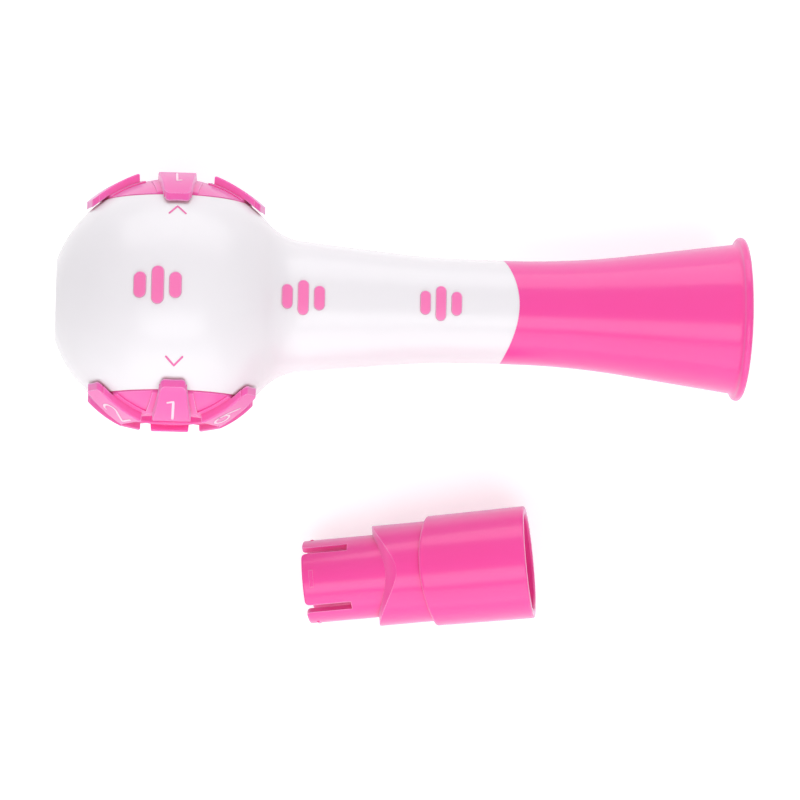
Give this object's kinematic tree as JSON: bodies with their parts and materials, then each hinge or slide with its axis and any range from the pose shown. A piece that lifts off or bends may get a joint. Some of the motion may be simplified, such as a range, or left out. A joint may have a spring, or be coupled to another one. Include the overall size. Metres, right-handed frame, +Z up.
{
  "type": "breathing trainer",
  "caption": "Hand-held breathing trainer: a hollow ball with a tapering neck, a finned resistance dial on each side, a flared mouthpiece and a loose tube adapter.",
  "frame": {"origin": "on the table under the middle of the overall box of the trainer and its loose adapter", "axes": "+X from the ball to the mouthpiece along the trainer as it lies, +Y along the exhale dial's axis, +Z up from the table; the side with the bars faces up"},
  "size_m": [0.1652, 0.104, 0.0591],
  "materials": {
    "white_plastic": "glossy moulded",
    "pink_plastic": "glossy moulded",
    "bar_plastic": "satin moulded",
    "valve_plastic": "plain moulded",
    "silicone": "soft translucent white",
    "steel": "stainless"
  },
  "bodies": {
    "casing": {"front_shell": "white_plastic", "rear_shell": "white_plastic", "neck_seal": "silicone", "ball_bars": "bar_plastic", "upper_neck_bars": "bar_plastic", "lower_neck_bars": "bar_plastic", "exhale_valve_cup": "valve_plastic", "inhale_port_plate": "valve_plastic", "inhale_port_seal": "silicone", "inhale_click_spring": "valve_plastic", "inhale_dial_washer": "steel", "inhale_dial_screw": "steel", "inhale_flap_retainer": "valve_plastic", "exhale_port_plate": "valve_plastic", "exhale_port_seal": "silicone", "exhale_click_spring": "valve_plastic", "exhale_dial_washer": "steel", "exhale_dial_screw": "steel", "exhale_flap_retainer": "valve_plastic"},
    "mouthpiece_body": {"mouthpiece": "pink_plastic"},
    "adapter_body": {"adapter": "pink_plastic"},
    "inhale_dial_body": {"inhale_dial": "pink_plastic"},
    "exhale_dial_body": {"exhale_dial": "pink_plastic"},
    "inhale_flap_body": {"inhale_flap": "silicone"},
    "exhale_flap_body": {"exhale_flap": "silicone"}
  },
  "joints": [
    {"name": "inhale_dial_turn", "type": "hinge", "parent": "casing", "child": "inhale_dial_body", "pos_m": [-0.05421, 0.0013, 0.02943], "axis": [0, -1, 0], "continuous": true},
    {"name": "exhale_dial_turn", "type": "hinge", "parent": "casing", "child": "exhale_dial_body", "pos_m": [-0.05421, 0.04371, 0.02943], "axis": [0, 1, 0], "continuous": true},
    {"name": "inhale_flap_swing", "type": "hinge", "parent": "casing", "child": "inhale_flap_body", "pos_m": [-0.05423, 0.005, 0.02923], "axis": [-0.9973, 0, 0.0732], "range_deg": [0, 25], "stiffness_Nm_per_rad": 0.0002},
    {"name": "exhale_flap_swing", "type": "hinge", "parent": "casing", "child": "exhale_flap_body", "pos_m": [-0.05423, 0.03591, 0.02923], "axis": [-0.9973, 0, 0.0732], "range_deg": [0, 25], "stiffness_Nm_per_rad": 0.0002},
    {"name": "mouthpiece_pull", "type": "slide", "parent": "casing", "child": "mouthpiece_body", "axis": [0.9973, 0, -0.0732], "range_m": [0, 0.03]},
    {"name": "adapter_lift", "type": "slide", "parent": "casing", "child": "adapter_body", "axis": [0, 0, 1], "range_m": [0, 0.08]}
  ]
}
